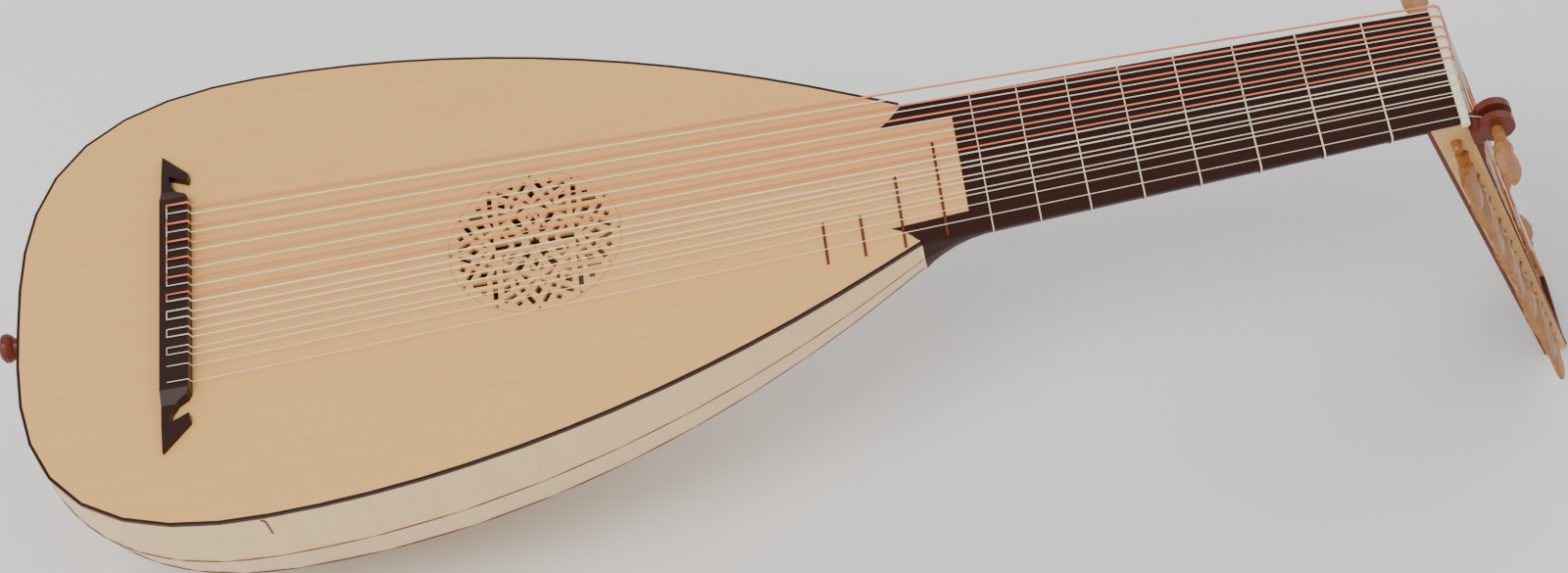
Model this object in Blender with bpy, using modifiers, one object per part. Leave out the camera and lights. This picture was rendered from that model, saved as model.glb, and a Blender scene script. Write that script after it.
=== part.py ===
"""Baroque lute with eleven courses, lying on its back as it would on a table.

Everything is modelled in the lute's own frame and hung on one empty that leans it onto the floor.
In that frame X runs along the strings from the front of the bridge to the nut, Y to the bass side and
Z out of the soundboard, whose top is the plane Z = 0. The pegbox has two directions of its own:
s down its length from the nut, and n out of its open front.
"""

import math

import bmesh
import bpy
from mathutils import Matrix, Vector

# Fits
CLEARANCE = 0.0003
TURNING_CLEARANCE = 0.00012
WELD = 0.000001

# Strings
STRING_LENGTH = 0.690
STRING_HEIGHT_AT_BRIDGE = 0.0065

# Body outline, half of it, from the tail to the neck joint
TAIL_X = -0.100
WIDEST_X = 0.033
JOINT_X = 0.396
BODY_HALF_WIDTH = 0.1527
JOINT_HALF_WIDTH = 0.050
TAIL_FULLNESS = 0.0612
LOWER_BOUT_FULLNESS = 0.1328
SHOULDER_FULLNESS = 0.2053
JOINT_HANDLE = (0.0051, -0.0073)

# Bowl
RIB_COUNT = 11
RIB_THICKNESS = 0.0020
RIB_SEAM = 0.0005
EDGE_RIB_ANGLE = math.radians(17.3)
TAIL_DEPTH_RATIO = 1.0
NECK_DEPTH_RATIO = 1.15
STATIONS_PER_CURVE = 12
FIRST_STATION = 0.10

# Edge of the body
BINDING_WIDTH = 0.0014
BINDING_HEIGHT = 0.0024
CLASP_HEIGHT = 0.0173
CLASP_END_X = 0.035
LINING_DEPTH = 0.030
LINING_THICKNESS = 0.004
LINING_END_X = -0.060

# Soundboard
SOUNDBOARD_THICKNESS = 0.0020
BAR_WIDTH = 0.005
BAR_DEPTH = 0.014
BAR_PLACES = (0.070, 0.122, 0.252, 0.296, 0.334)
ROSE_CENTRE_X = 0.1889
ROSE_CENTRE_Y = -0.0022
ROSE_UNIT = 0.001
ROSE_OPENNESS = 1.25

# Bridge
BRIDGE_FRONT_X = -0.0016
BRIDGE_DEPTH = 0.0159
BRIDGE_HEIGHT = 0.0090
BRIDGE_BLOCK_HALF = 0.066
BRIDGE_HALF_LENGTH = 0.1025
BRIDGE_HOOK_HEIGHT = 0.0050
BRIDGE_TIP_HEIGHT = 0.0030

# Neck and fingerboard
NECK_BASS_AT_JOINT = 0.0478
NECK_TREBLE_AT_JOINT = -0.0500
NECK_BASS_AT_NUT = 0.0484
NECK_TREBLE_AT_NUT = -0.0322
NECK_DEPTH_AT_BLOCK = 0.031
NECK_DEPTH_AT_NUT = 0.025
HEEL_DEPTH = 0.055
HEEL_LENGTH = 0.034
NECK_ARC_POINTS = 13
TONGUE_END_X = 0.4237
TONGUE_BASS_Y = 0.0333
TONGUE_TREBLE_Y = -0.0337
BLOCK_LENGTH = 0.050
BLOCK_INSET = 0.0034

# Nut and frets
NUT_FOOT = 0.0035
NUT_TOP_WIDTH = 0.0050
NUT_TOP = 0.0020
NUT_BASS_Y = 0.0515
NUT_TREBLE_Y = -0.0348
FRET_COUNT = 8
FIRST_FRET_THICKNESS = 0.0010
LAST_FRET_THICKNESS = 0.0007

# Pegbox
PEGBOX_ANGLE = math.radians(15.8)
PEGBOX_LENGTH = 0.254
PEG_LINE_X = STRING_LENGTH - 0.008
PEGBOX_BACK_AT_NUT = -0.0126
PEGBOX_BACK_AT_END = -0.0089
PEGBOX_FRONT_AT_NUT = 0.0086
PEGBOX_FRONT_AT_END = 0.0046
PEGBOX_HALF_WIDTH_AT_END = 0.0261
CHEEK_THICKNESS = 0.0045
BACK_THICKNESS = 0.0020
ROOT_BLOCK_FRONT = 0.0060
ROOT_BLOCK_BACK = 0.0140
END_BLOCK = 0.0085

# Pegs
PEG_COUNT_IN_BOX = 19
FIRST_PEG = 0.0186
LAST_PEG_TO_END = 0.0185
PEG_SPACING = (PEGBOX_LENGTH - FIRST_PEG - LAST_PEG_TO_END) / (PEG_COUNT_IN_BOX - 1)
PEG_LINE_OFFSET = -0.0008
PEG_RADIUS = 0.0035
PEG_END_RADIUS = 0.0028
PEG_PROUD = 0.0060
PEG_SIDES = 8
HOLE_SIDES = 10
# Each ring of a peg head: distance from the cheek, half width and half thickness
PEG_HEAD = (
    (0.0000, 0.0035, 0.0035),
    (0.0080, 0.0034, 0.0034),
    (0.0108, 0.0043, 0.0041),
    (0.0132, 0.0063, 0.0047),
    (0.0158, 0.0056, 0.0037),
    (0.0205, 0.0080, 0.0029),
    (0.0262, 0.0085, 0.0025),
    (0.0318, 0.0067, 0.0021),
    (0.0362, 0.0040, 0.0017),
    (0.0387, 0.0014, 0.0009),
)
# How far each head stands turned, from the nut down
PEG_TURNS = (20, 52, 55, 40, 65, 58, 10, 44, -60, 62, 35, 50, 80, 38, -15, 56, 48, 60, 5)
RIDER_PEG_TURN = 35

# Treble rider, the bracket of the first string's peg
RIDER_S = 0.0103
RIDER_N = 0.0227
EAR_RADIUS = 0.0100
EAR_THICKNESS = 0.0045
EAR_GAP = 0.0050
RIDER_OUTER_Y = -0.0380
RIDER_TOP_S = 0.0070
RIDER_TAIL_S = 0.0750

# End button
BUTTON_Z = -0.0150
# Each ring of the button: distance out of the tail and radius
BUTTON_PROFILE = (
    (0.0138, 0.0000),
    (0.0138, 0.0030),
    (0.0131, 0.0062),
    (0.0112, 0.0081),
    (0.0088, 0.0082),
    (0.0066, 0.0070),
    (0.0052, 0.0052),
    (0.0032, 0.0049),
    (0.0003, 0.0060),
    (0.0003, 0.0030),
    (-0.0095, 0.0026),
    (-0.0100, 0.0000),
)
BUTTON_PIN_RADIUS = 0.0030

# Courses from the eleventh to the first: place at the bridge, place at the nut, spread of the pair at
# the bridge, spread at the nut, thickness of the string and of its partner, all in millimetres
COURSES = {
    11: (57.6, 47.1, 5.6, 3.2, 1.30, 0.66),
    10: (44.3, 39.7, 5.6, 3.0, 1.22, 0.62),
    9: (31.5, 32.1, 5.9, 2.8, 1.14, 0.58),
    8: (19.1, 24.9, 5.9, 3.0, 1.06, 0.56),
    7: (6.6, 17.1, 5.5, 2.8, 1.00, 0.52),
    6: (-4.8, 9.6, 4.6, 2.7, 0.94, 0.80),
    5: (-16.8, 1.7, 5.5, 2.4, 0.80, 0.80),
    4: (-29.0, -6.3, 5.1, 2.6, 0.66, 0.66),
    3: (-41.2, -14.6, 4.6, 2.4, 0.54, 0.54),
    2: (-51.2, -22.4, 0.0, 0.0, 0.46, 0.0),
    1: (-61.9, -30.5, 0.0, 0.0, 0.42, 0.0),
}
BASS_COURSES = (11, 10, 9, 8, 7)

FRAME_NAME = "lute_frame"


def mix(a, b, t):
    """The value a share t of the way from a to b."""
    return a + (b - a) * t


def cubic(p0, p1, p2, p3, t):
    """A point on a cubic curve through p0 and p3."""
    u = 1.0 - t
    return u**3 * p0 + 3 * u * u * t * p1 + 3 * u * t * t * p2 + t**3 * p3


def body_point(u):
    """(x, half width) of the body's outline: u is 0 at the tail, 1 at the widest place, 2 at the joint."""
    tail = Vector((TAIL_X, 0.0))
    widest = Vector((WIDEST_X, BODY_HALF_WIDTH))
    joint = Vector((JOINT_X, JOINT_HALF_WIDTH))
    if u <= 1.0:
        return cubic(
            tail,
            tail + Vector((0.0, TAIL_FULLNESS)),
            widest - Vector((LOWER_BOUT_FULLNESS, 0.0)),
            widest,
            u,
        )
    return cubic(
        widest,
        widest + Vector((SHOULDER_FULLNESS, 0.0)),
        joint + Vector(JOINT_HANDLE),
        joint,
        u - 1.0,
    )


def bowl_depth(x, half_width):
    """Depth of the bowl below the soundboard where it is this wide."""
    share = (x - TAIL_X) / (JOINT_X - TAIL_X)
    return half_width * mix(TAIL_DEPTH_RATIO, NECK_DEPTH_RATIO, share)


def seam_angles():
    """Angles of the rib seams round the bowl's section, from the bass edge to the treble edge."""
    inner = (math.pi - 2 * EDGE_RIB_ANGLE) / (RIB_COUNT - 2)
    middle = [EDGE_RIB_ANGLE + inner * k for k in range(RIB_COUNT - 1)]
    return [0.0] + middle + [math.pi]


def side_at(x, half_width, z):
    """Half width of the bowl's outside at z below the soundboard, or None below its floor."""
    depth = bowl_depth(x, half_width)
    angles = seam_angles()
    for a, b in zip(angles[: RIB_COUNT // 2 + 1], angles[1:]):
        top, bottom = depth * math.sin(a), depth * math.sin(b)
        if bottom > top and top <= z <= bottom:
            share = (z - top) / (bottom - top)
            return mix(half_width * math.cos(a), half_width * math.cos(b), share)
    return None


def side_line(z, x_end, count):
    """Evenly spaced points (x, y) along the bowl at one depth, from x_end on the bass side to the tail."""
    dense = []
    for k in range(241):
        point = body_point(2.0 * k / 240)
        y = side_at(point.x, point.y, z)
        if y is not None:
            dense.append(Vector((point.x, y)))
    dense.insert(0, Vector((dense[0].x, 0.0)))
    while len(dense) > 2 and dense[-2].x > x_end:
        dense.pop()
    a, b = dense[-2], dense[-1]
    dense[-1] = a.lerp(b, min(1.0, (x_end - a.x) / (b.x - a.x)))
    dense.reverse()
    return even_points(dense, count)


def even_points(points, count):
    """The same path with count points spaced evenly along it."""
    lengths = [0.0]
    for a, b in zip(points, points[1:]):
        lengths.append(lengths[-1] + (b - a).length)
    out = []
    k = 0
    for i in range(count):
        want = lengths[-1] * i / (count - 1)
        while k < len(points) - 2 and lengths[k + 1] < want:
            k += 1
        span = lengths[k + 1] - lengths[k]
        out.append(points[k].lerp(points[k + 1], (want - lengths[k]) / span))
    return out


def offset_path(points, distance, closed=False):
    """The flat path moved to its left by the distance, with its corners mitred."""
    out = []
    count = len(points)
    for i, point in enumerate(points):
        before = points[i - 1] if closed or i > 0 else None
        after = points[(i + 1) % count] if closed or i < count - 1 else None
        sides = []
        if before is not None:
            sides.append((point - before).normalized())
        if after is not None:
            sides.append((after - point).normalized())
        normals = [Vector((-d.y, d.x)) for d in sides]
        middle = sum(normals, Vector((0.0, 0.0))).normalized()
        out.append(point + middle * (distance / max(0.3, middle.dot(normals[0]))))
    return out


def mirrored_line(line):
    """A line from the bass side to the tail, carried on to the treble side."""
    return line + [Vector((p.x, -p.y)) for p in reversed(line[:-1])]


def loft(rings):
    """A closed body through rings of equally many points, with a flat cap at each end."""
    bm = bmesh.new()
    rows = [[bm.verts.new(p) for p in ring] for ring in rings]
    size = len(rows[0])
    for a, b in zip(rows, rows[1:]):
        for k in range(size):
            bm.faces.new((a[k], a[(k + 1) % size], b[(k + 1) % size], b[k]))
    bm.faces.new(list(reversed(rows[0])))
    bm.faces.new(rows[-1])
    bmesh.ops.recalc_face_normals(bm, faces=bm.faces)
    return bm


def slab(outline, bottom, top):
    """A flat outline raised from bottom to top."""
    bm = bmesh.new()
    face = bm.faces.new([bm.verts.new((p[0], p[1], bottom)) for p in outline])
    raised = bmesh.ops.extrude_face_region(bm, geom=[face])
    verts = [v for v in raised["geom"] if isinstance(v, bmesh.types.BMVert)]
    bmesh.ops.translate(bm, verts=verts, vec=(0.0, 0.0, top - bottom))
    bmesh.ops.recalc_face_normals(bm, faces=bm.faces)
    return bm


def box(bm, low, high):
    """Adds a box between two corners to the mesh."""
    made = bmesh.ops.create_cube(bm, size=1.0)["verts"]
    size = Vector(high) - Vector(low)
    bmesh.ops.scale(bm, vec=size, verts=made)
    bmesh.ops.translate(bm, vec=(Vector(low) + Vector(high)) / 2, verts=made)


def material(name, colour, roughness, metallic=0.0):
    """A plain finish, made once."""
    found = bpy.data.materials.get(name)
    if found:
        return found
    made = bpy.data.materials.new(name)
    made.use_nodes = True
    shader = made.node_tree.nodes["Principled BSDF"]
    shader.inputs["Base Color"].default_value = (*colour, 1.0)
    shader.inputs["Roughness"].default_value = roughness
    shader.inputs["Metallic"].default_value = metallic
    made.diffuse_color = (*colour, 1.0)
    return made


def spruce():
    return material("spruce", (0.66, 0.46, 0.24), 0.55)


def maple():
    return material("maple", (0.72, 0.56, 0.36), 0.40)


def rosewood():
    return material("rosewood", (0.035, 0.013, 0.010), 0.35)


def plum():
    return material("plum_wood", (0.16, 0.045, 0.025), 0.38)


def olive():
    return material("peg_wood", (0.44, 0.25, 0.08), 0.38)


def bone():
    return material("bone", (0.80, 0.76, 0.64), 0.35)


def gut():
    return material("gut", (0.84, 0.80, 0.62), 0.40)


def red_gut():
    return material("red_gut", (0.62, 0.22, 0.13), 0.40)


def beech():
    return material("inner_wood", (0.50, 0.36, 0.22), 0.60)


class Workshop:
    """Holds the frame and the collections that every piece goes into."""

    def __init__(self):
        self.frame = bpy.data.objects.new(FRAME_NAME, None)
        self.parts = bpy.data.collections.new("baroque_lute")
        self.cutters = bpy.data.collections.new("cutters")
        for collection in (self.parts, self.cutters):
            bpy.context.scene.collection.children.link(collection)
        self.parts.objects.link(self.frame)

    def part(self, name, bm, finish, smooth=False, location=(0, 0, 0), rotation=(0, 0, 0)):
        """Makes a part of the mesh, in the lute's frame."""
        mesh = bpy.data.meshes.new(name)
        bm.to_mesh(mesh)
        bm.free()
        if smooth:
            mesh.shade_smooth()
            mesh.set_sharp_from_angle(angle=math.radians(35))
        mesh.materials.append(finish)
        made = bpy.data.objects.new(name, mesh)
        made.location = location
        made.rotation_euler = rotation
        made.parent = self.frame
        self.parts.objects.link(made)
        return made

    def cutter(self, name, bm, location=(0, 0, 0), rotation=(0, 0, 0)):
        """Makes a tool that only cuts or joins."""
        mesh = bpy.data.meshes.new(name)
        bm.to_mesh(mesh)
        bm.free()
        made = bpy.data.objects.new(name, mesh)
        made.location = location
        made.rotation_euler = rotation
        made.parent = self.frame
        made.hide_render = True
        made.display_type = "WIRE"
        self.cutters.objects.link(made)
        return made

    def tube(self, name, points, radii):
        """A round cord through the points, as a welded mesh. A closed ring has its first point again."""
        closed = (points[0] - points[-1]).length < WELD
        if closed:
            points = points[:-1]
        curve = bpy.data.curves.new(name, "CURVE")
        curve.dimensions = "3D"
        curve.bevel_depth = 1.0
        curve.bevel_resolution = 2
        curve.use_fill_caps = not closed
        spline = curve.splines.new("POLY")
        spline.points.add(len(points) - 1)
        spline.use_cyclic_u = closed
        for k, point in enumerate(points):
            spline.points[k].co = (*point, 1.0)
            spline.points[k].radius = radii[k % len(radii)]
        guide = bpy.data.objects.new(name, curve)
        self.parts.objects.link(guide)
        bpy.context.view_layer.update()
        graph = bpy.context.evaluated_depsgraph_get()
        mesh = bpy.data.meshes.new_from_object(guide.evaluated_get(graph))
        bpy.data.objects.remove(guide)
        bpy.data.curves.remove(curve)
        bm = bmesh.new()
        bm.from_mesh(mesh)
        bpy.data.meshes.remove(mesh)
        bmesh.ops.remove_doubles(bm, verts=bm.verts, dist=WELD)
        bmesh.ops.recalc_face_normals(bm, faces=bm.faces)
        return bm


def combine(target, tool, operation="DIFFERENCE"):
    """Cuts the tool out of the target, or joins or intersects them."""
    modifier = target.modifiers.new(tool.name, "BOOLEAN")
    modifier.object = tool
    modifier.operation = operation


def rib_rings(first, last, stations):
    """Rings of one flat rib between two seam angles."""
    edges = []
    for x, half_width in stations:
        depth = bowl_depth(x, half_width)
        edges.append(
            [
                Vector((x, half_width * math.cos(a), -depth * math.sin(a)))
                for a in (first, last)
            ]
        )
    middles = [(a + b) / 2 for a, b in edges]
    mitre = RIB_THICKNESS * math.tan((last - first) / 2)
    rings = []
    for k, (a, b) in enumerate(edges):
        along = middles[min(k + 1, len(edges) - 1)] - middles[max(k - 1, 0)]
        across = (b - a).normalized()
        normal = along.cross(across).normalized()
        if normal.dot(Vector((0.0, middles[k].y, middles[k].z))) < 0:
            normal = -normal
        seam = across * (RIB_SEAM / 2)
        inner = across * (RIB_SEAM / 2 + mitre)
        down = normal * RIB_THICKNESS
        rings.append([a + seam, b - seam, b - inner - down, a + inner - down])
    return rings


def add_bowl(shop):
    """Eleven ribs, trimmed under the binding and behind the clasp."""
    shares = [
        mix(FIRST_STATION, 1.0, k / (STATIONS_PER_CURVE - 1)) for k in range(STATIONS_PER_CURVE)
    ]
    shares += [1.0 + k / STATIONS_PER_CURVE for k in range(1, STATIONS_PER_CURVE + 1)]
    stations = [tuple(body_point(u)) for u in shares]
    under_binding = -(BINDING_HEIGHT + CLEARANCE)
    under_clasp = under_binding - CLASP_HEIGHT - CLEARANCE
    far = 2 * BODY_HALF_WIDTH
    trim = bmesh.new()
    box(trim, (TAIL_X - far, -far, under_binding), (JOINT_X + far, far, far))
    binding_trim = shop.cutter("under_binding", trim)
    trim = bmesh.new()
    box(trim, (TAIL_X - far, -far, under_clasp), (CLASP_END_X + CLEARANCE, far, far))
    clasp_trim = shop.cutter("under_clasp", trim)
    angles = seam_angles()
    for k in range(RIB_COUNT):
        bm = loft(rib_rings(angles[k], angles[k + 1], stations))
        rib = shop.part(f"rib_{k + 1:02d}", bm, maple())
        combine(rib, clasp_trim)
        if k in (0, RIB_COUNT - 1):
            combine(rib, binding_trim)


def band(top, bottom, thickness, x_end, count, inset=0.0):
    """A strip that follows the side of the bowl round the tail, between two depths."""
    lines = []
    for z, moved in ((top, inset), (bottom, inset), (bottom, inset + thickness), (top, inset + thickness)):
        line = mirrored_line(side_line(z, x_end, count))
        line = offset_path(line, moved)
        lines.append([Vector((p.x, p.y, -z)) for p in line])
    return loft([list(ring) for ring in zip(*lines)])


def add_edges(shop):
    """The binding, the clasp round the tail and the lining behind it."""
    binding = band(0.0, BINDING_HEIGHT, BINDING_WIDTH, JOINT_X, 24)
    shop.part("edge_binding", binding, rosewood(), smooth=True)
    top = BINDING_HEIGHT + CLEARANCE
    clasp = band(top, top + CLASP_HEIGHT, RIB_THICKNESS, CLASP_END_X, 16)
    end_clasp = shop.part("end_clasp", clasp, maple(), smooth=True)
    behind = RIB_THICKNESS + 2 * CLEARANCE
    lining = band(top, LINING_DEPTH, LINING_THICKNESS, LINING_END_X, 10, behind)
    tail_lining = shop.part("tail_lining", lining, beech(), smooth=True)
    hole = bmesh.new()
    bmesh.ops.create_cone(
        hole,
        cap_ends=True,
        segments=16,
        radius1=BUTTON_PIN_RADIUS + CLEARANCE,
        radius2=BUTTON_PIN_RADIUS + CLEARANCE,
        depth=0.040,
    )
    drill = shop.cutter(
        "button_hole", hole, location=(TAIL_X, 0.0, BUTTON_Z), rotation=(0.0, math.pi / 2, 0.0)
    )
    combine(end_clasp, drill)
    combine(tail_lining, drill)


def add_button(shop):
    """The turned strap button, with its pin in the lining."""
    mesh = bpy.data.meshes.new("end_button")
    count = len(BUTTON_PROFILE)
    points = [(radius, 0.0, out) for out, radius in BUTTON_PROFILE]
    mesh.from_pydata(points, [(k, k + 1) for k in range(count - 1)], [])
    mesh.materials.append(plum())
    button = bpy.data.objects.new("end_button", mesh)
    turn = button.modifiers.new("turn", "SCREW")
    turn.steps = 20
    turn.render_steps = 20
    turn.use_merge_vertices = True
    turn.merge_threshold = WELD * 10
    turn.use_smooth_shade = True
    button.location = (TAIL_X, 0.0, BUTTON_Z)
    button.rotation_euler = (0.0, -math.pi / 2, 0.0)
    button.parent = shop.frame
    shop.parts.objects.link(button)


def fingerboard_outline():
    """Outline of the fingerboard with its two points and the notch for the soundboard's tongue."""
    start = JOINT_X + CLEARANCE
    nut = STRING_LENGTH - 0.0015 - CLEARANCE
    bass_tip = Vector((0.3839, TONGUE_BASS_Y + 0.0006))
    treble_tip = Vector((0.3811, TONGUE_TREBLE_Y - 0.0030))
    bass_corner = Vector((0.3961, 0.0462))
    treble_corner = Vector((0.3942, -0.0469))
    bass_bow = Vector((0.3885, 0.0372))
    treble_bow = Vector((0.3893, -0.0396))

    def bow(a, middle, b):
        return [a.lerp(middle, t).lerp(middle.lerp(b, t), t) for t in (0.0, 0.25, 0.5, 0.75, 1.0)]

    points = [Vector((nut, neck_treble(nut))), Vector((nut, neck_bass(nut)))]
    points += [Vector((start, neck_bass(start)))]
    points += bow(bass_corner, bass_bow, bass_tip)
    points += [Vector((TONGUE_END_X, TONGUE_BASS_Y)), Vector((TONGUE_END_X, TONGUE_TREBLE_Y))]
    points += bow(treble_tip, treble_bow, treble_corner)
    points += [Vector((start, -0.0479)), Vector((start, neck_treble(start)))]
    return points


def neck_share(x):
    return (x - JOINT_X) / (STRING_LENGTH - JOINT_X)


def neck_bass(x):
    return mix(NECK_BASS_AT_JOINT, NECK_BASS_AT_NUT, neck_share(x))


def neck_treble(x):
    return mix(NECK_TREBLE_AT_JOINT, NECK_TREBLE_AT_NUT, neck_share(x))


def neck_depth(x):
    """Depth of the neck below its top, with the heel curving up from the body."""
    plain = mix(NECK_DEPTH_AT_BLOCK, NECK_DEPTH_AT_NUT, neck_share(x))
    share = min(1.0, (x - JOINT_X) / HEEL_LENGTH)
    return mix(HEEL_DEPTH, plain, 1.0 - (1.0 - share) ** 2.4)


def neck_ring(x, grow=0.0, top=0.0):
    """The neck's section at x as (y, z) points, from the bass edge round the back to the treble edge."""
    bass, treble = neck_bass(x), neck_treble(x)
    centre, half = (bass + treble) / 2, (bass - treble) / 2 + grow
    depth = neck_depth(x) + grow
    arc = (half * half + depth * depth) / (2 * depth)
    heel = max(0.0, 1.0 - (x - JOINT_X) / HEEL_LENGTH)
    points = []
    for k in range(NECK_ARC_POINTS):
        angle = math.pi * k / (NECK_ARC_POINTS - 1)
        y = half * math.cos(angle)
        flat = math.sqrt(max(0.0, arc * arc - y * y)) - (arc - depth)
        full = depth * math.sin(angle)
        points.append((centre + y, top - mix(flat, full, heel)))
    return points


def add_soundboard(shop):
    """The soundboard with its tongue, its bars underneath and the pierced rose."""
    inset = BINDING_WIDTH + CLEARANCE
    edge = offset_path(mirrored_line(side_line(0.0, JOINT_X, 24)), inset)
    over = 0.0010
    tongue = [
        Vector((JOINT_X, TONGUE_TREBLE_Y - 0.0040)),
        Vector((TONGUE_END_X + over, TONGUE_TREBLE_Y - 0.0040)),
        Vector((TONGUE_END_X + over, TONGUE_BASS_Y + 0.0030)),
        Vector((JOINT_X, TONGUE_BASS_Y + 0.0030)),
    ]
    board = shop.part("soundboard", slab(edge + tongue, -SOUNDBOARD_THICKNESS, 0.0), spruce())
    grown = offset_path(fingerboard_outline(), -CLEARANCE, closed=True)
    notch = slab(grown, -2 * SOUNDBOARD_THICKNESS, SOUNDBOARD_THICKNESS)
    combine(board, shop.cutter("fingerboard_notch", notch))
    bars = bmesh.new()
    sunk = 0.0002
    for x in BAR_PLACES:
        depth = SOUNDBOARD_THICKNESS + BAR_DEPTH
        half = bar_half_length(x, depth)
        low = (x - BAR_WIDTH / 2, -half, -depth)
        high = (x + BAR_WIDTH / 2, half, -SOUNDBOARD_THICKNESS + sunk)
        box(bars, low, high)
    combine(board, shop.cutter("bars", bars), "UNION")
    combine(board, shop.cutter("rose_holes", rose_holes()))


def bar_half_length(x, depth):
    """Half the length of a bar that ends just inside the ribs."""
    best = min((abs(body_point(k / 60).x - x), k) for k in range(121))[1]
    point = body_point(best / 60)
    return side_at(point.x, point.y, depth) - RIB_THICKNESS - 0.0025


def rose_holes():
    """The openings of the knot rose, in millimetres round its centre, repeated by its symmetry."""
    sixfold = (
        [(6.7, 0.0), (8.0, 2.0), (12.2, 2.0), (11.1, 0.0), (12.2, -2.0), (8.0, -2.0)],
        [(13.2, 0.0), (15.2, 1.9), (21.9, 1.9), (21.9, -1.9), (15.2, -1.9)],
        [(15.6, 9.0), (13.4, 5.5), (10.0, 5.8), (11.9, 9.1)],
    )
    sixfold_mirrored = (
        [(0.9, 20.2), (4.2, 19.0), (3.2, 16.8)],
        [(4.2, 23.7), (6.6, 25.3), (8.7, 21.2)],
    )
    twelvefold = (
        [(30.8, 0.0), (33.7, 1.9), (36.5, 0.0), (33.7, -1.9)],
        [(45.0, 0.0), (46.9, 1.1), (46.9, -1.1)],
    )
    # These lie about the line at 45 degrees
    diagonal = (
        [(22.2, 22.2), (24.6, 22.2), (24.6, 24.6), (22.2, 24.6)],
        [(28.3, 28.4), (30.8, 28.4), (30.8, 30.9), (28.3, 30.9)],
        [(22.3, 28.3), (24.5, 28.3), (24.5, 34.6), (22.3, 34.6)],
        [(28.3, 22.3), (34.6, 22.3), (34.6, 24.5), (28.3, 24.5)],
        [(14.2, 22.3), (18.6, 22.2), (18.4, 24.4)],
        [(22.3, 14.2), (24.4, 18.4), (22.2, 18.6)],
    )
    star = []
    for k in range(6):
        for radius, angle in ((4.2, 30.0 + 60 * k), (2.4, 60.0 + 60 * k)):
            star.append((radius * math.cos(math.radians(angle)), radius * math.sin(math.radians(angle))))
    bm = bmesh.new()
    add_hole(bm, star, 0.0, 1)
    for k in range(6):
        for hole in sixfold:
            add_hole(bm, hole, 60.0 * k, 1)
        for hole in sixfold_mirrored:
            add_hole(bm, opened(hole), 60.0 * k, 1)
            add_hole(bm, opened(hole), 60.0 * k, -1)
    for k in range(12):
        for hole in twelvefold + diagonal:
            add_hole(bm, opened(hole), 30.0 * k, 1)
    bmesh.ops.recalc_face_normals(bm, faces=bm.faces)
    return bm


def opened(outline):
    """A small opening widened about its middle."""
    middle_x = sum(p[0] for p in outline) / len(outline)
    middle_y = sum(p[1] for p in outline) / len(outline)
    return [
        (mix(middle_x, x, ROSE_OPENNESS), mix(middle_y, y, ROSE_OPENNESS)) for x, y in outline
    ]


def add_hole(bm, outline, turn, mirror):
    """One opening of the rose, turned about its centre and mirrored in Y where mirror is -1."""
    angle = math.radians(turn)
    points = []
    for x, y in outline:
        y *= mirror
        px = x * math.cos(angle) - y * math.sin(angle)
        py = x * math.sin(angle) + y * math.cos(angle)
        points.append((ROSE_CENTRE_X + px * ROSE_UNIT, ROSE_CENTRE_Y + py * ROSE_UNIT))
    deep = 2 * SOUNDBOARD_THICKNESS
    low = [bm.verts.new((x, y, -deep)) for x, y in points]
    face = bm.faces.new(low)
    raised = bmesh.ops.extrude_face_region(bm, geom=[face])
    verts = [v for v in raised["geom"] if isinstance(v, bmesh.types.BMVert)]
    bmesh.ops.translate(bm, verts=verts, vec=(0.0, 0.0, deep + SOUNDBOARD_THICKNESS))


def add_bridge(shop):
    """The bridge: a block for the strings and a forked point at each end."""
    front = BRIDGE_FRONT_X
    back = BRIDGE_FRONT_X - BRIDGE_DEPTH
    block = BRIDGE_BLOCK_HALF
    tip = BRIDGE_HALF_LENGTH
    half = [
        (front, block),
        (front - 0.0016, block + 0.0035),
        (front - 0.0068, block + 0.0068),
        (front - 0.0105, block + 0.0125),
        (front - 0.0117, block + 0.0195),
        (front - 0.0008, block + 0.0145),
        (front - 0.0004, block + 0.0195),
        (back, tip),
    ]
    outline = half + [(x, -y) for x, y in reversed(half)]
    bridge = shop.part("bridge", slab(outline, CLEARANCE, 2 * BRIDGE_HEIGHT), rosewood())
    profile = [
        (block, BRIDGE_HEIGHT),
        (block + 0.0080, BRIDGE_HOOK_HEIGHT + 0.0004),
        (block + 0.0200, BRIDGE_HOOK_HEIGHT),
        (tip + 0.0010, BRIDGE_TIP_HEIGHT),
        (tip + 0.0010, -BRIDGE_HEIGHT),
    ]
    profile += [(-y, z) for y, z in reversed(profile)]
    # The profile is drawn flat, raised along its own Z and turned to stand across the bridge
    tool = shop.cutter(
        "bridge_profile",
        slab([(-z, y) for y, z in profile], -0.040, 0.040),
        location=(back, 0.0, 0.0),
        rotation=(0.0, math.pi / 2, 0.0),
    )
    combine(bridge, tool, "INTERSECT")


def add_neck(shop):
    """Neck with its heel, the block inside the body and the fingerboard on top."""
    top = -(SOUNDBOARD_THICKNESS + CLEARANCE)
    bottom = -SOUNDBOARD_THICKNESS
    board = slab(fingerboard_outline(), bottom, 0.0)
    shop.part("fingerboard", board, rosewood())
    start = JOINT_X + CLEARANCE
    places = [start + HEEL_LENGTH * share for share in (0.0, 0.12, 0.28, 0.5, 0.75, 1.0)]
    rings = []
    for x in places:
        rings.append([Vector((x, y, z)) for y, z in neck_ring(x, -CLEARANCE, top)])
    last = []
    for y, z in neck_ring(pegbox_x(top, back_line) - CLEARANCE, -CLEARANCE, top):
        last.append(Vector((pegbox_x(z, back_line) - 2 * CLEARANCE, y, z)))
    rings.append(last)
    shop.part("neck", loft(rings), rosewood(), smooth=True)
    rings = []
    for k in range(6):
        x = JOINT_X - BLOCK_LENGTH * (1 - k / 5)
        rings.append(block_ring(x, top))
    shop.part("neck_block", loft(rings), beech())


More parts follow.
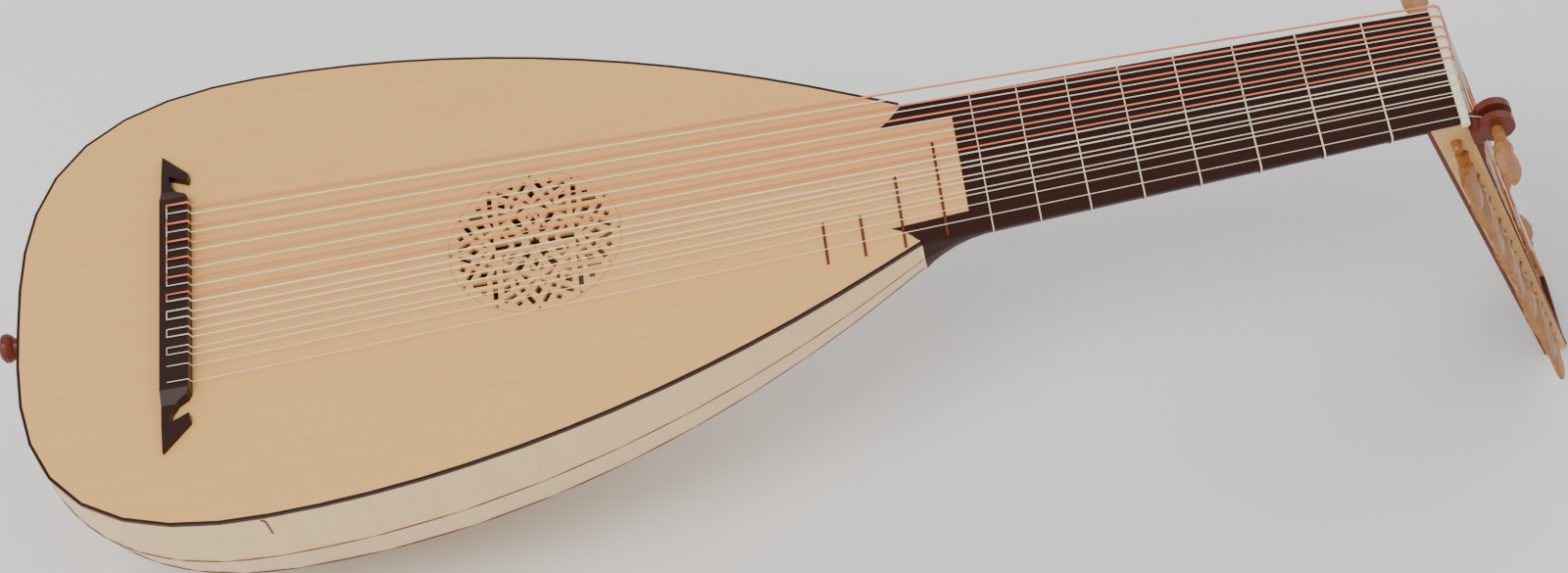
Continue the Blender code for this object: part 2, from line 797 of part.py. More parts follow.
def block_ring(x, top):
    """Section of the neck block, parallel to the inside of the ribs."""
    best = min((abs(body_point(k / 200).x - x), k) for k in range(401))[1]
    point = body_point(best / 200)
    half = point.y - BLOCK_INSET
    depth = bowl_depth(x, point.y) - BLOCK_INSET
    ring = [(half * math.cos(a), -depth * math.sin(a)) for a in seam_angles()[1:-1]]
    share = top / ring[0][1]
    edge = mix(half, ring[0][0], share)
    ring = [(edge, top)] + ring + [(-edge, top)]
    return [Vector((x, y, z)) for y, z in ring]


def back_line(s):
    return mix(PEGBOX_BACK_AT_NUT, PEGBOX_BACK_AT_END, s / PEGBOX_LENGTH)


def inner_back_line(s):
    return back_line(s) + BACK_THICKNESS


def cheek_back_line(s):
    return inner_back_line(s) + CLEARANCE


def front_line(s):
    return mix(PEGBOX_FRONT_AT_NUT, PEGBOX_FRONT_AT_END, s / PEGBOX_LENGTH)


def pegbox_centre():
    return (NECK_BASS_AT_NUT + NECK_TREBLE_AT_NUT) / 2


def pegbox_half_width(s):
    """Half width over the outside of the cheeks."""
    at_nut = (NECK_BASS_AT_NUT - NECK_TREBLE_AT_NUT) / 2
    return mix(at_nut, PEGBOX_HALF_WIDTH_AT_END, s / PEGBOX_LENGTH)


def pegbox_point(s, n, y):
    """A place in the pegbox as a point in the lute's frame."""
    x = PEG_LINE_X + s * math.sin(PEGBOX_ANGLE) + n * math.cos(PEGBOX_ANGLE)
    z = -s * math.cos(PEGBOX_ANGLE) + n * math.sin(PEGBOX_ANGLE)
    return Vector((x, y, z))


def pegbox_s(z, line):
    """How far down the pegbox one of its long edges crosses the height z."""
    at_zero = pegbox_point(0.0, line(0.0), 0.0).z
    at_end = pegbox_point(PEGBOX_LENGTH, line(PEGBOX_LENGTH), 0.0).z
    return PEGBOX_LENGTH * (z - at_zero) / (at_end - at_zero)


def pegbox_x(z, line):
    s = pegbox_s(z, line)
    return pegbox_point(s, line(s), 0.0).x


def add_pegbox(shop):
    """Two cheeks, with the peg holes, on the back and its two blocks."""
    top = -(SOUNDBOARD_THICKNESS + CLEARANCE)
    centre = pegbox_centre()
    holes = shop.cutter("peg_holes", peg_holes(shop))
    for name, side in (("pegbox_cheek_bass", 1), ("pegbox_cheek_treble", -1)):
        rings = []
        for ends in ((pegbox_s(top, cheek_back_line), pegbox_s(top, front_line)), (PEGBOX_LENGTH,) * 2):
            back, front = ends
            ring = []
            for s, line, depth in (
                (back, cheek_back_line, 0.0),
                (front, front_line, 0.0),
                (front, front_line, CHEEK_THICKNESS),
                (back, cheek_back_line, CHEEK_THICKNESS),
            ):
                y = centre + side * (pegbox_half_width(s) - depth)
                ring.append(pegbox_point(s, line(s), y))
            rings.append(ring)
        cheek = shop.part(name, loft(rings), maple())
        combine(cheek, holes)
    plate = []
    for back, inner in (
        (pegbox_s(top, back_line), pegbox_s(top, inner_back_line)),
        (PEGBOX_LENGTH, PEGBOX_LENGTH),
    ):
        ring = []
        for s, line in ((back, back_line), (inner, inner_back_line)):
            for side in (1, -1):
                order = side if line is back_line else -side
                ring.append(pegbox_point(s, line(s), centre + order * pegbox_half_width(s)))
        plate.append(ring)
    back = shop.part("pegbox_back", loft(plate), plum())
    root = inner_block(top, None, (ROOT_BLOCK_BACK, ROOT_BLOCK_FRONT))
    combine(back, shop.cutter("root_block", root), "UNION")
    end = inner_block(None, PEGBOX_LENGTH - END_BLOCK, (PEGBOX_LENGTH, PEGBOX_LENGTH))
    combine(back, shop.cutter("end_block", end), "UNION")


def inner_block(top, start, ends):
    """A block between the cheeks, from a height or a place to where its back and its front end."""
    sunk = BACK_THICKNESS / 2

    def low_line(s):
        return inner_back_line(s) - sunk

    rings = []
    if top is not None:
        first = (pegbox_s(top, low_line), pegbox_s(top, front_line))
    else:
        first = (start, start)
    for back, front in (first, ends):
        ring = []
        for s, line, side in (
            (back, low_line, 1),
            (front, front_line, 1),
            (front, front_line, -1),
            (back, low_line, -1),
        ):
            half = pegbox_half_width(s) - CHEEK_THICKNESS - CLEARANCE
            ring.append(pegbox_point(s, line(s), pegbox_centre() + side * half))
        rings.append(ring)
    return loft(rings)


def peg_places():
    """(name, s, side, turn) of each peg in the box: bass and treble pegs take turns from the nut down."""
    places = []
    counts = {1: 0, -1: 0}
    for k in range(PEG_COUNT_IN_BOX):
        side = 1 if k % 2 == 0 else -1
        counts[side] += 1
        name = f"peg_{'bass' if side == 1 else 'treble'}_{counts[side]:02d}"
        places.append((name, FIRST_PEG + PEG_SPACING * k, side, PEG_TURNS[k]))
    return places


def peg_holes(shop):
    """Tapered drills for every peg of the box, in one mesh."""
    bm = bmesh.new()
    for _, s, side, _ in peg_places():
        length = 2 * pegbox_half_width(s)
        place = pegbox_point(s, PEG_LINE_OFFSET, pegbox_centre() + side * length / 2)
        add_drill(bm, place, length, side)
    return bm


def add_drill(bm, place, length, side):
    """A tapered drill that runs past both ends of a peg's seat."""
    over = 0.0030
    room = TURNING_CLEARANCE
    grow = 1.0 / math.cos(math.pi / HOLE_SIDES)
    slope = (PEG_RADIUS - PEG_END_RADIUS) / (length + PEG_PROUD)
    turn = Matrix.Translation(place) @ Matrix.Rotation(-side * math.pi / 2, 4, "X")
    middle = Matrix.Translation((0.0, 0.0, -length / 2))
    made = bmesh.ops.create_cone(
        bm,
        cap_ends=True,
        segments=HOLE_SIDES,
        radius1=(PEG_RADIUS - slope * (length + over) + room) * grow,
        radius2=(PEG_RADIUS + slope * over + room) * grow,
        depth=length + 2 * over,
    )["verts"]
    bmesh.ops.transform(bm, matrix=turn @ middle, verts=made)


def peg_mesh(length):
    """A peg along Z, its cheek at Z = 0 and its flat head above it."""
    end = -(length + PEG_PROUD)
    rings = [(end, PEG_END_RADIUS * 0.8, PEG_END_RADIUS * 0.8)]
    rings.append((end + 0.0010, PEG_END_RADIUS, PEG_END_RADIUS))
    rings += PEG_HEAD
    out = []
    for z, half_width, half_thickness in rings:
        ring = []
        for k in range(PEG_SIDES):
            angle = 2 * math.pi * (k + 0.5) / PEG_SIDES
            ring.append(Vector((half_width * math.cos(angle), half_thickness * math.sin(angle), z)))
        out.append(ring)
    return loft(out)


def add_pegs(shop):
    """Nineteen pegs in the pegbox and one in the rider, each with its origin on its axis."""
    for name, s, side, turn in peg_places():
        length = 2 * pegbox_half_width(s)
        place = pegbox_point(s, PEG_LINE_OFFSET, pegbox_centre() + side * length / 2)
        rotation = (-side * math.pi / 2, math.radians(turn), 0.0)
        shop.part(name, peg_mesh(length), olive(), True, place, rotation)
    place = pegbox_point(RIDER_S, RIDER_N, RIDER_OUTER_Y)
    rotation = (math.pi / 2, math.radians(RIDER_PEG_TURN), 0.0)
    shop.part("peg_rider", peg_mesh(rider_width()), olive(), True, place, rotation)


def rider_width():
    return 2 * EAR_THICKNESS + EAR_GAP


def add_rider(shop):
    """The treble rider: a foot along the cheek's front edge and two round ears for its peg."""
    centre = pegbox_centre()
    width = rider_width()

    def foot_ring(s, height, outer, inner):
        low = front_line(s) + CLEARANCE
        return [
            pegbox_point(s, low, outer),
            pegbox_point(s, height, outer),
            pegbox_point(s, height, inner),
            pegbox_point(s, low, inner),
        ]

    def cheek_sides(s):
        outer = centre - pegbox_half_width(s)
        return outer, outer + CHEEK_THICKNESS

    ear_foot = RIDER_N - EAR_RADIUS + 0.0025
    wide = (RIDER_OUTER_Y, RIDER_OUTER_Y + width)
    rings = [
        foot_ring(RIDER_TOP_S, ear_foot, *wide),
        foot_ring(RIDER_S + 0.0060, ear_foot, *wide),
        foot_ring(RIDER_S + 0.0180, ear_foot - 0.0030, *cheek_sides(RIDER_S + 0.0180)),
        foot_ring(RIDER_S + 0.0360, ear_foot - 0.0060, *cheek_sides(RIDER_S + 0.0360)),
        foot_ring(RIDER_TAIL_S, front_line(RIDER_TAIL_S) + 0.0012, *cheek_sides(RIDER_TAIL_S)),
    ]
    rider = shop.part("treble_rider", loft(rings), plum(), smooth=True)
    for k, name in enumerate(("outer_ear", "inner_ear")):
        y = RIDER_OUTER_Y + EAR_THICKNESS / 2 + k * (EAR_THICKNESS + EAR_GAP)
        ear = bmesh.new()
        bmesh.ops.create_cone(
            ear,
            cap_ends=True,
            segments=24,
            radius1=EAR_RADIUS,
            radius2=EAR_RADIUS,
            depth=EAR_THICKNESS,
        )
        place = pegbox_point(RIDER_S, RIDER_N, y)
        combine(rider, shop.cutter(name, ear, place, (math.pi / 2, 0.0, 0.0)), "UNION")
    drill = bmesh.new()
    add_drill(drill, pegbox_point(RIDER_S, RIDER_N, RIDER_OUTER_Y), width, -1)
    combine(rider, shop.cutter("rider_hole", drill))


def add_nut(shop):
    """The nut, wider than the neck, with a rounded top."""
    back = STRING_LENGTH - 0.0015
    foot = -SOUNDBOARD_THICKNESS
    section = [
        (back, foot),
        (back + NUT_FOOT, foot),
        (back + NUT_TOP_WIDTH, NUT_TOP - 0.0022),
        (back + NUT_TOP_WIDTH - 0.0006, NUT_TOP - 0.0007),
        (back + NUT_TOP_WIDTH - 0.0020, NUT_TOP),
        (back + 0.0012, NUT_TOP),
        (back, NUT_TOP - 0.0005),
    ]
    ends = (NUT_TREBLE_Y, NUT_TREBLE_Y + 0.0008, NUT_BASS_Y - 0.0008, NUT_BASS_Y)
    rings = []
    for k, y in enumerate(ends):
        shrink = 0.85 if k in (0, len(ends) - 1) else 1.0
        middle = back + NUT_FOOT / 2
        rings.append([Vector((mix(middle, x, shrink), y, z * shrink)) for x, z in section])
    shop.part("nut", loft(rings), bone(), smooth=True)


def fret_thickness(number):
    return mix(FIRST_FRET_THICKNESS, LAST_FRET_THICKNESS, (number - 1) / (FRET_COUNT - 1))


def add_frets(shop):
    """The tied gut frets, each a ring round the neck and the fingerboard."""
    for number in range(1, FRET_COUNT + 1):
        x = STRING_LENGTH * 2 ** (-number / 12)
        radius = fret_thickness(number) / 2
        away = radius + CLEARANCE
        top = -(SOUNDBOARD_THICKNESS + CLEARANCE)
        back = neck_ring(x, away, top)
        bass = neck_bass(x) + away
        treble = neck_treble(x) - away
        turn, rise = away / 4, 3 * away / 4
        ring = [(treble, top), (treble, 0.0), (treble + turn, rise), (treble + away, away)]
        ring += [(bass - away, away), (bass - turn, rise), (bass, 0.0), (bass, top)]
        ring += back[1:-1]
        points = [Vector((0.0, y, z)) for y, z in ring]
        points.append(points[0])
        bm = shop.tube(f"fret_{number}", points, [radius])
        shop.part(f"fret_{number}", bm, gut(), True, (x, 0.0, 0.0))


def string_places():
    """Each string from the bass: its course, places at bridge and nut, radius and peg."""
    strings = []
    for course, (at_bridge, at_nut, bridge_gap, nut_gap, own, partner) in COURSES.items():
        signs = (0,) if partner == 0.0 else (1, -1)
        for sign in signs:
            y_bridge = (at_bridge + sign * bridge_gap / 2) / 1000
            y_nut = (at_nut + sign * nut_gap / 2) / 1000
            radius = (partner if sign == -1 else own) / 2000
            strings.append((course, y_bridge, y_nut, radius))
    pegs = peg_places()
    bass = sorted((p for p in pegs if p[2] == 1), key=lambda p: -p[1])
    treble = sorted((p for p in pegs if p[2] == -1), key=lambda p: p[1])
    order = bass + treble + [None]
    return [(*string, peg) for string, peg in zip(strings, order)]


def string_points(y_bridge, y_nut, radius, peg):
    """A string's route from its tie on the bridge, over the nut and down to its peg."""
    away = CLEARANCE + radius
    top = BRIDGE_HEIGHT + away
    front = BRIDGE_FRONT_X + away
    nut = STRING_LENGTH - 0.0015
    over_nut = NUT_TOP + away
    lip = nut + NUT_TOP_WIDTH + away
    points = [
        Vector((BRIDGE_FRONT_X - 0.0115, y_bridge, top)),
        Vector((BRIDGE_FRONT_X - 0.0002, y_bridge, top)),
        Vector((BRIDGE_FRONT_X + 0.8 * away, y_bridge, BRIDGE_HEIGHT + 0.8 * away)),
        Vector((front, y_bridge, BRIDGE_HEIGHT - 0.0002)),
        Vector((front + 0.0010, y_bridge, STRING_HEIGHT_AT_BRIDGE)),
        Vector((nut, y_nut, over_nut)),
        Vector((nut + NUT_TOP_WIDTH - 0.0016, y_nut, over_nut)),
        Vector((lip - 0.0002, y_nut, NUT_TOP - 0.0010)),
    ]
    if peg is None:
        y = RIDER_OUTER_Y + EAR_THICKNESS + EAR_GAP / 2
        place = pegbox_point(RIDER_S, RIDER_N, y)
        reach = PEG_RADIUS + away
        turn = math.radians(150)
        points[-1] = Vector((lip - 0.0006, y_nut, NUT_TOP - 0.0002))
        points.append(place + Vector((math.cos(turn), 0.0, math.sin(turn))) * reach)
        return points
    s = peg[1]
    room = pegbox_half_width(s) - CHEEK_THICKNESS - 0.0040
    y = pegbox_centre() + (y_nut - pegbox_centre()) * room / pegbox_half_width(0.0)
    n = PEG_LINE_OFFSET + PEG_RADIUS + away
    points.append(pegbox_point(s, n, y))
    return points


def add_strings(shop):
    """One cord a course: a pair is tied off as one length, and the bass courses share their tie."""
    groups = {}
    for course, y_bridge, y_nut, radius, peg in string_places():
        points = string_points(y_bridge, y_nut, radius, peg)
        groups.setdefault(course, []).append((points, radius))
    basses = []
    for course, members in groups.items():
        points, radius = members[0]
        points = list(reversed(points))
        radii = [radius] * len(points)
        if len(members) == 2:
            more, other = members[1]
            points += more
            radii += [other] * len(more)
        bm = shop.tube(f"course_{course}", points, radii)
        if course in BASS_COURSES:
            basses.append((course, bm, points[len(members[0][0]) - 1], more[0]))
        else:
            shop.part(f"course_{course}", bm, gut(), True)
    whole = shop.part("bass_courses", basses[0][1], red_gut(), True)
    for course, bm, _, _ in basses[1:]:
        combine(whole, shop.cutter(f"course_{course}", bm), "UNION")
    for (_, _, _, left), (course, _, right, _) in zip(basses, basses[1:]):
        reach = Vector((0.0, 0.0004, 0.0))
        low = min(left.z, right.z)
        ends = [Vector((left.x, left.y, low)) + reach, Vector((right.x, right.y, low)) - reach]
        link = shop.tube(f"tie_{course}", ends, [0.00028])
        combine(whole, shop.cutter(f"tie_{course}", link), "UNION")


def lean_angle():
    """How far the lute leans when its bowl and the end of its pegbox lie on the floor."""
    end = pegbox_point(PEGBOX_LENGTH, back_line(PEGBOX_LENGTH), 0.0)
    slopes = []
    facet = math.cos((math.pi - 2 * EDGE_RIB_ANGLE) / (RIB_COUNT - 2) / 2)
    for k in range(1, 200):
        x, half_width = body_point(k / 100)
        floor = -bowl_depth(x, half_width) * facet
        slopes.append((floor - end.z) / (x - end.x))
    return -math.atan(max(slopes))


def lay_down(shop):
    """Leans the lute onto the floor and puts the origin under the middle of it."""
    shop.frame.rotation_euler = (0.0, -lean_angle(), 0.0)
    bpy.context.view_layer.update()
    graph = bpy.context.evaluated_depsgraph_get()
    low = Vector((math.inf,) * 3)
    high = -low
    for part in shop.parts.objects:
        if part.type != "MESH":
            continue
        evaluated = part.evaluated_get(graph)
        for vertex in evaluated.to_mesh().vertices:
            point = evaluated.matrix_world @ vertex.co
            low = Vector(map(min, low, point))
            high = Vector(map(max, high, point))
        evaluated.to_mesh_clear()
    middle = (low + high) / 2
    shop.frame.location = (-middle.x, -middle.y, -low.z)
    bpy.context.view_layer.update()


def clear_scene():
    for old in list(bpy.data.objects):
        bpy.data.objects.remove(old)


def main():
    clear_scene()
    shop = Workshop()
    add_soundboard(shop)
    add_bowl(shop)
    add_edges(shop)
    add_button(shop)
    add_bridge(shop)
    add_neck(shop)
    add_nut(shop)
    add_frets(shop)
    add_pegbox(shop)
    add_pegs(shop)
    add_rider(shop)
    add_strings(shop)
    lay_down(shop)


if __name__ == "__main__":
    main()
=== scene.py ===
"""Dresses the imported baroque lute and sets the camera, floor and light."""
import logging
import math
from dataclasses import dataclass
from enum import Enum

import bmesh
import bpy
from mathutils import Matrix, Vector


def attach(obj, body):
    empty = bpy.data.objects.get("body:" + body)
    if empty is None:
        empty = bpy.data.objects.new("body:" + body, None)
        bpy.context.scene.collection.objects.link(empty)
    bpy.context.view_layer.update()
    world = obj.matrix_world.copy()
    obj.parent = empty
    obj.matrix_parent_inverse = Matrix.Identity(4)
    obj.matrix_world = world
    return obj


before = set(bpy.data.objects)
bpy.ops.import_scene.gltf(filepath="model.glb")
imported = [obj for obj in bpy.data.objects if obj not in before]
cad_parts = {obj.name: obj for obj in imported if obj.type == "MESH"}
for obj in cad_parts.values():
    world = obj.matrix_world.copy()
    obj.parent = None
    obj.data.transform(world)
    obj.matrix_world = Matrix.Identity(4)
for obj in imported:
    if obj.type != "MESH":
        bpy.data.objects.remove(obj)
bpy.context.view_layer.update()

LOG = logging.getLogger("lute")
# Places the lute's own frame, X along the strings and Z out of the soundboard, on the floor
LUTE = Matrix((
    (0.99227, 0.0, -0.124098, -0.334244),
    (0.0, 1.0, 0.0, 0.0),
    (0.124098, 0.0, 0.99227, 0.152764),
    (0.0, 0.0, 0.0, 1.0),
))
LEAN = math.atan2(LUTE[2][0], LUTE[0][0])
STRING_LENGTH = 0.690
MILLIMETRE = 0.001
BODY = "lute"


class Surface(Enum):
    """How the pattern of a finish is stretched."""

    ALONG = (1.0, 60.0, 60.0)
    PEGBOX = (40.0, 40.0, 6.0)
    ACROSS = (40.0, 2.0, 2.0)
    EVEN = (30.0, 30.0, 30.0)


@dataclass(frozen=True)
class Finish:
    """A wood, gut or bone finish with grain.

    Its fields are the two grain colours, the roughness, the clear coat, the grain's stretch and
    fineness, the height of its relief and the strength of its shine.
    """

    name: str
    light: tuple[float, float, float]
    dark: tuple[float, float, float]
    roughness: float
    coat: float = 0.0
    surface: Surface = Surface.ALONG
    scale: float = 10.0
    bump: float = 0.15
    relief: float = 0.0002
    shine: float = 0.5
    coat_roughness: float = 0.25

    def build(self) -> bpy.types.Material:
        """Make the material.

        Returns:
            A new node material.
        """
        made = bpy.data.materials.new(self.name)
        made.use_nodes = True
        nodes, links = made.node_tree.nodes, made.node_tree.links
        shader = nodes["Principled BSDF"]
        place = nodes.new("ShaderNodeTexCoord")
        level = lute_mapping(made.node_tree, place)
        turn = nodes.new("ShaderNodeMapping")
        turn.inputs["Scale"].default_value = self.surface.value
        grain = nodes.new("ShaderNodeGroup")
        grain.node_tree = grain_group()
        grain.inputs["Scale"].default_value = self.scale
        grain.inputs["Light"].default_value = (*self.light, 1.0)
        grain.inputs["Dark"].default_value = (*self.dark, 1.0)
        grain.inputs["Roughness"].default_value = self.roughness
        bump = nodes.new("ShaderNodeBump")
        bump.inputs["Strength"].default_value = self.bump
        bump.inputs["Distance"].default_value = self.relief
        links.new(level.outputs["Vector"], turn.inputs["Vector"])
        links.new(turn.outputs["Vector"], grain.inputs["Vector"])
        links.new(grain.outputs["Color"], shader.inputs["Base Color"])
        links.new(grain.outputs["Roughness"], shader.inputs["Roughness"])
        links.new(grain.outputs["Height"], bump.inputs["Height"])
        links.new(bump.outputs["Normal"], shader.inputs["Normal"])
        shader.inputs["Coat Weight"].default_value = self.coat
        shader.inputs["Coat Roughness"].default_value = self.coat_roughness
        shader.inputs["Specular IOR Level"].default_value = self.shine
        return made


def lute_mapping(tree: bpy.types.NodeTree, place: bpy.types.Node) -> bpy.types.Node:
    """Add a mapping from the world into the lute's own frame.

    Args:
        tree: The material's nodes.
        place: Its texture coordinates.

    Returns:
        The mapping node.
    """
    level = tree.nodes.new("ShaderNodeMapping")
    level.vector_type = "TEXTURE"
    level.inputs["Location"].default_value = LUTE.translation
    level.inputs["Rotation"].default_value = (0.0, -LEAN, 0.0)
    tree.links.new(place.outputs["Object"], level.inputs["Vector"])
    return level


@dataclass(frozen=True)
class CourseColours:
    """Red first strings and pale partners, told apart by their place across the lute.

    Places are in metres: where the seventh course and its spacing are at the bridge and at the nut.
    """

    name: str = "course_colours"
    at_bridge: float = 0.0066
    at_nut: float = 0.0171
    spacing_at_bridge: float = 0.01275
    spacing_at_nut: float = 0.00745
    red: tuple[float, float, float] = (0.74, 0.20, 0.09)
    pale: tuple[float, float, float] = (0.86, 0.82, 0.68)
    roughness: float = 0.35
    # Whole courses added to keep the count above zero, and half a course to split each pair
    count_from: float = 10.5

    def build(self) -> bpy.types.Material:
        """Make the material.

        Returns:
            A new node material.
        """
        made = bpy.data.materials.new(self.name)
        made.use_nodes = True
        tree = made.node_tree
        shader = tree.nodes["Principled BSDF"]
        level = lute_mapping(tree, tree.nodes.new("ShaderNodeTexCoord"))
        split = tree.nodes.new("ShaderNodeSeparateXYZ")
        tree.links.new(level.outputs["Vector"], split.inputs["Vector"])
        share = self.math(tree, "DIVIDE", split.outputs["X"], STRING_LENGTH)
        share = self.math(tree, "MINIMUM", share, 1.0)
        middle = self.ramp(tree, share, self.at_bridge, self.at_nut)
        spacing = self.ramp(tree, share, self.spacing_at_bridge, self.spacing_at_nut)
        across = self.math(tree, "SUBTRACT", split.outputs["Y"], middle)
        across = self.math(tree, "DIVIDE", across, spacing)
        across = self.math(tree, "ADD", across, self.count_from)
        across = self.math(tree, "FRACT", across, 0.0)
        first = self.math(tree, "GREATER_THAN", across, 0.5)
        mixed = tree.nodes.new("ShaderNodeMix")
        mixed.data_type = "RGBA"
        mixed.inputs["A"].default_value = (*self.pale, 1.0)
        mixed.inputs["B"].default_value = (*self.red, 1.0)
        tree.links.new(first, mixed.inputs["Factor"])
        tree.links.new(mixed.outputs["Result"], shader.inputs["Base Color"])
        shader.inputs["Roughness"].default_value = self.roughness
        return made

    def math(
        self,
        tree: bpy.types.NodeTree,
        kind: str,
        a: bpy.types.NodeSocket | float,
        b: bpy.types.NodeSocket | float,
    ) -> bpy.types.NodeSocket:
        """Add one sum to the material.

        Args:
            tree: The material's nodes.
            kind: The sum, by Blender's name.
            a: Its first socket or number.
            b: Its second socket or number.

        Returns:
            The socket that holds the result.
        """
        node = tree.nodes.new("ShaderNodeMath")
        node.operation = kind
        for k, value in enumerate((a, b)):
            if isinstance(value, float):
                node.inputs[k].default_value = value
            else:
                tree.links.new(value, node.inputs[k])
        return node.outputs["Value"]

    def ramp(
        self, tree: bpy.types.NodeTree, share: bpy.types.NodeSocket, low: float, high: float
    ) -> bpy.types.NodeSocket:
        """Add a straight change between two values.

        Args:
            tree: The material's nodes.
            share: How far along the change is, from 0 to 1.
            low: The value at 0.
            high: The value at 1.

        Returns:
            The socket that holds the result.
        """
        return self.math(tree, "ADD", self.math(tree, "MULTIPLY", share, high - low), low)


def grain_group() -> bpy.types.NodeTree:
    """Make the shared grain group once.

    Returns:
        The group, which puts out a colour, a roughness and a height.
    """
    found = bpy.data.node_groups.get("grain")
    if found:
        return found
    group = bpy.data.node_groups.new("grain", "ShaderNodeTree")
    face = group.interface
    for name, kind in (
        ("Vector", "NodeSocketVector"),
        ("Scale", "NodeSocketFloat"),
        ("Light", "NodeSocketColor"),
        ("Dark", "NodeSocketColor"),
        ("Roughness", "NodeSocketFloat"),
    ):
        face.new_socket(name, in_out="INPUT", socket_type=kind)
    for name, kind in (
        ("Color", "NodeSocketColor"),
        ("Roughness", "NodeSocketFloat"),
        ("Height", "NodeSocketFloat"),
    ):
        face.new_socket(name, in_out="OUTPUT", socket_type=kind)
    nodes, links = group.nodes, group.links
    given = nodes.new("NodeGroupInput")
    out = nodes.new("NodeGroupOutput")
    noise = nodes.new("ShaderNodeTexNoise")
    noise.inputs["Detail"].default_value = 6.0
    noise.inputs["Roughness"].default_value = 0.6
    mixed = nodes.new("ShaderNodeMix")
    mixed.data_type = "RGBA"
    rough = nodes.new("ShaderNodeMath")
    rough.operation = "MULTIPLY_ADD"
    rough.inputs[1].default_value = 0.18
    links.new(given.outputs["Vector"], noise.inputs["Vector"])
    links.new(given.outputs["Scale"], noise.inputs["Scale"])
    links.new(noise.outputs["Fac"], mixed.inputs["Factor"])
    links.new(given.outputs["Light"], mixed.inputs["A"])
    links.new(given.outputs["Dark"], mixed.inputs["B"])
    links.new(noise.outputs["Fac"], rough.inputs[0])
    links.new(given.outputs["Roughness"], rough.inputs[2])
    links.new(mixed.outputs["Result"], out.inputs["Color"])
    links.new(rough.outputs["Value"], out.inputs["Roughness"])
    links.new(noise.outputs["Fac"], out.inputs["Height"])
    return group


SPRUCE = Finish("soundboard_spruce", (0.82, 0.46, 0.15), (0.66, 0.33, 0.09), 0.48, 0.0)
RIBS = Finish("rib_maple", (0.90, 0.64, 0.31), (0.80, 0.52, 0.22), 0.30, 0.2, Surface.ACROSS, 6.0)
MAPLE = Finish("cheek_maple", (0.72, 0.42, 0.16), (0.58, 0.30, 0.09), 0.34, 0.2, Surface.PEGBOX)
EBONY = Finish("dark_wood", (0.030, 0.006, 0.003), (0.008, 0.002, 0.001), 0.30, shine=0.25)
BOARD = Finish("fingerboard_wood", (0.040, 0.009, 0.005), (0.014, 0.003, 0.002), 0.45, shine=0.15)
PLUM = Finish("red_brown_wood", (0.17, 0.026, 0.011), (0.07, 0.010, 0.005), 0.30, shine=0.35)
PEGWOOD = Finish("peg_wood", (0.46, 0.19, 0.038), (0.16, 0.055, 0.012), 0.30, 0.2, Surface.EVEN, 9.0)
BONE = Finish("nut_bone", (0.84, 0.80, 0.64), (0.72, 0.66, 0.48), 0.30, 0.1, Surface.EVEN)
GUT = Finish("pale_gut", (0.90, 0.84, 0.62), (0.76, 0.68, 0.44), 0.35, 0.0, Surface.EVEN, 12.0)


def lute_point(x: float, y: float, z: float) -> Vector:
    """Turn a place in the lute's frame, in metres, into the world's."""
    return LUTE @ Vector((x, y, z))


def keep_piece(name: str, bm: bmesh.types.BMesh, finish: bpy.types.Material) -> bpy.types.Object:
    """Make a finished piece that rides on the lute.

    Args:
        name: The piece's name.
        bm: Its mesh in world coordinates, which is freed.
        finish: Its material.

    Returns:
        The new object.
    """
    bmesh.ops.recalc_face_normals(bm, faces=bm.faces)
    mesh = bpy.data.meshes.new(name)
    bm.to_mesh(mesh)
    bm.free()
    mesh.materials.append(finish)
    made = bpy.data.objects.new(name, mesh)
    bpy.context.scene.collection.objects.link(made)
    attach(made, BODY)
    return made


def swept_line(name: str, points: list[Vector], radius: float, finish: bpy.types.Material) -> None:
    """Make a thin round line that rides on the lute.

    Args:
        name: The piece's name.
        points: The line's points in the world.
        radius: The line's radius.
        finish: Its material.
    """
    curve = bpy.data.curves.new(name, "CURVE")
    curve.dimensions = "3D"
    curve.bevel_depth = radius
    curve.bevel_resolution = 1
    curve.use_fill_caps = True
    spline = curve.splines.new("POLY")
    spline.points.add(len(points) - 1)
    for place, point in zip(spline.points, points):
        place.co = (*point, 1.0)
    guide = bpy.data.objects.new(name, curve)
    bpy.context.scene.collection.objects.link(guide)
    bpy.context.view_layer.update()
    graph = bpy.context.evaluated_depsgraph_get()
    mesh = bpy.data.meshes.new_from_object(guide.evaluated_get(graph))
    bpy.data.objects.remove(guide)
    bm = bmesh.new()
    bm.from_mesh(mesh)
    bmesh.ops.remove_doubles(bm, verts=bm.verts, dist=1e-6)
    keep_piece(name, bm, finish)


@dataclass
class BodyFrets:
    """Four thin wooden frets glued to the soundboard, in millimetres."""

    first: int = 9
    width: float = 1.5
    height: float = 0.9
    lift: float = 0.02
    edge: float = 0.35
    ends: tuple[tuple[float, float], ...] = (
        (18.3, -48.0),
        (-2.0, -51.0),
        (-24.5, -52.1),
        (-25.1, -53.1),
    )

    def build(self, finish: bpy.types.Material) -> None:
        """Build the frets.

        Args:
            finish: Their material.
        """
        for k, (bass, treble) in enumerate(self.ends):
            number = self.first + k
            x = STRING_LENGTH / MILLIMETRE * 2 ** (-number / 12)
            bm = bmesh.new()
            verts = bmesh.ops.create_cube(bm, size=1.0)["verts"]
            bmesh.ops.scale(bm, vec=(self.width, bass - treble, self.height), verts=verts)
            middle = (x, (bass + treble) / 2, self.height / 2 + self.lift)
            bmesh.ops.translate(bm, vec=middle, verts=verts)
            top = [e for e in bm.edges if all(v.co.z > self.height / 2 for v in e.verts)]
            bmesh.ops.bevel(
                bm,
                geom=top,
                offset=self.edge,
                segments=3,
                profile=0.5,
                affect="EDGES",
                material=-1,
            )
            bmesh.ops.scale(bm, vec=(MILLIMETRE,) * 3, verts=bm.verts)
            bmesh.ops.transform(bm, matrix=LUTE, verts=bm.verts)
            keep_piece(f"body_fret_{number}", bm, finish)


